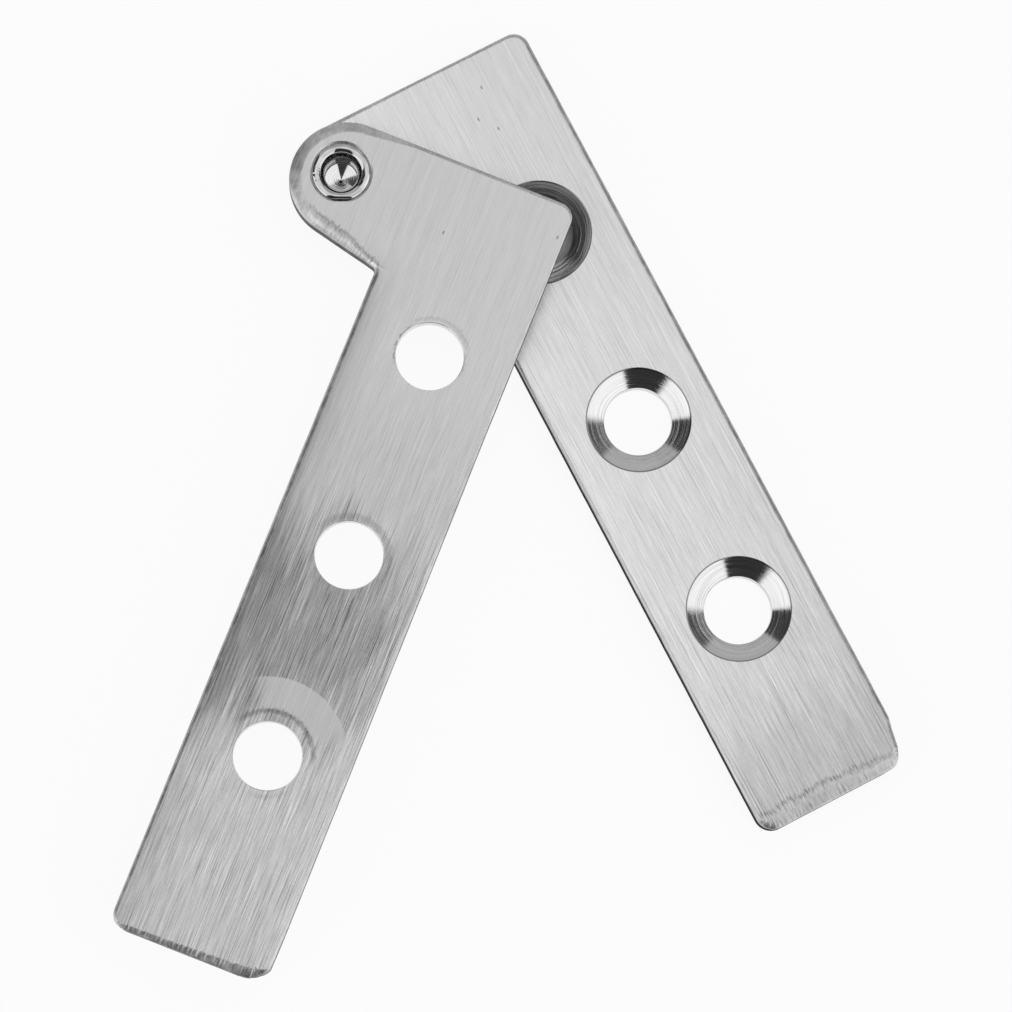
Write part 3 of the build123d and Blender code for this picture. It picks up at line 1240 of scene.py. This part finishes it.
def floor():
    """Pale floor that reads as white, and keeps the hinge's soft shadow."""
    mesh = bpy.data.meshes.new("floor")
    sides = ((-1, -1), (1, -1), (1, 1), (-1, 1))
    mesh.from_pydata([(FLOOR_HALF * x, FLOOR_HALF * y, 0) for x, y in sides], [], [(0, 1, 2, 3)])
    material, graph = new_material("floor")
    paths = graph.tree.nodes.new("ShaderNodeLightPath")
    seen = graph.math("MAXIMUM", paths.outputs["Is Camera Ray"], paths.outputs["Is Glossy Ray"])
    seen = graph.math("MAXIMUM", seen, paths.outputs["Is Transmission Ray"])
    x, y, _ = leaf_coordinates(graph, 0.0)
    # Painted shadow: the floor's white glow stops in a disc under the first hole, where it is shaded
    painted_shadow = graph.rise(graph.distance(x, y, screws[0]), *COVERED_SPAN)
    share = graph.times(seen, graph.mix(painted_shadow, FLOOR_GLOW, 0.0))
    paper = graph.add("BsdfDiffuse", {"Color": (FLOOR_TONE, FLOOR_TONE, FLOOR_TONE, 1)})
    white = graph.add("Emission", {"Color": (1, 1, 1, 1), "Strength": 1.0})
    both = graph.add("MixShader", {0: share, 1: paper, 2: white})
    graph.add("OutputMaterial", {"Surface": both})
    mesh.materials.append(material)
    ground = bpy.data.objects.new("floor", mesh)
    bpy.context.scene.collection.objects.link(ground)


def studio_world():
    """A white tent that darkens towards the horizon, with upright cards in it."""
    world = bpy.data.worlds.new("studio")
    bpy.context.scene.world = world
    world.use_nodes = True
    graph = Graph(world.node_tree)
    x, y, height = graph.split(graph.add("TexCoord", {}, output="Generated"))
    level = graph.direction(graph.combine(x, y, 0.0))
    tone = graph.rise(height, *TENT_SPAN, HORIZON_TONE, ZENITH_TONE)
    for turn, half, soft, low, high, card_tone in CARDS:
        near = graph.dot(level, heading(TOP_OF_PICTURE - turn))
        across = graph.rise(near, cosine(half + soft), cosine(half - soft))
        above = graph.rise(height, sine(low - CARD_SOFT), sine(low + CARD_SOFT))
        below = graph.rise(height, sine(high + CARD_SOFT), sine(high - CARD_SOFT))
        tone = graph.mix(graph.times(across, above, below), tone, card_tone)
    light = graph.add("Background", {"Color": graph.grey(tone), "Strength": 1.0})
    graph.add("OutputWorld", {"Surface": light})


def camera():
    """Camera nearly overhead, leaning a little past the foot of the picture."""
    target = Vector((TARGET_X, TARGET_Y, upper_top)) * MM
    back = heading(LEAN_HEADING) * sine(CAMERA_LEAN)
    back.z = cosine(CAMERA_LEAN)
    right = heading(RIGHT_HEADING)
    right.z = -right.dot(back) / back.z
    right.normalize()
    up = back.cross(right)
    lens = bpy.data.cameras.new("camera")
    lens.sensor_width = SENSOR_WIDTH
    lens.lens = SENSOR_WIDTH * LENS_PIXELS / PICTURE_PIXELS
    lens.clip_start, lens.clip_end = 0.01, 20
    eye = bpy.data.objects.new("camera", lens)
    turn = Matrix((right, up, back)).transposed().to_4x4()
    eye.matrix_world = Matrix.Translation(target + back * CAMERA_DISTANCE * MM) @ turn
    bpy.context.scene.collection.objects.link(eye)
    bpy.context.scene.camera = eye


# The hinge in its materials

pivot_axis = (0, 0)
leaf_axes = [tuple(screw) for screw in screws] + [pivot_axis]
lower = lower_leaf([
    brushed_plate("lower_plate", 0.0, thickness, LOWER_TONE, LOWER_CONTRAST, LOWER_ACROSS,
                  LOWER_NICKS, lower_zones),
    edge_steel("lower_edge", 0.0, thickness, LOWER_WALL_SHARE),
    turned_steel("lower_turned", 0.0, leaf_axes, 0.67, (0.08, 0.15), 0.5, sink_lines),
])
upper = upper_leaf([
    brushed_plate("upper_plate", -opening, upper_top, UPPER_TONE, UPPER_CONTRAST, UPPER_ACROSS,
                  UPPER_NICKS, upper_zones),
    edge_steel("upper_edge", -opening, upper_top, UPPER_WALL_SHARE, painted_flank_light=True),
    turned_steel("upper_turned", -opening, leaf_axes, 0.67, (0.10, 0.18), 0.5, sink_lines),
])
rivet = pivot_rivet(turned_steel("rivet_turned", 0.0, [pivot_axis], 0.80, (0.04, 0.09), 0.2, dark_bore))
for piece, body, node, slot in (
    (lower, "frame_side", "lower_leaf", "brushed_plate"),
    (upper, "door_side", "upper_leaf", "brushed_plate"),
    (rivet, "frame_side", "pivot_rivet", "rivet_steel"),
):
    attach(piece, body)
    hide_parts(node)
washer = frame["nodes"]["spacer_washer"]
washer.data.materials.clear()
washer.data.materials.append(
    turned_steel("washer_turned", 0.0, [pivot_axis], 0.80, (0.25, 0.35), 0.3, dark_bore))

floor()
studio_world()
camera()
bpy.context.scene.view_settings.view_transform = "Standard"
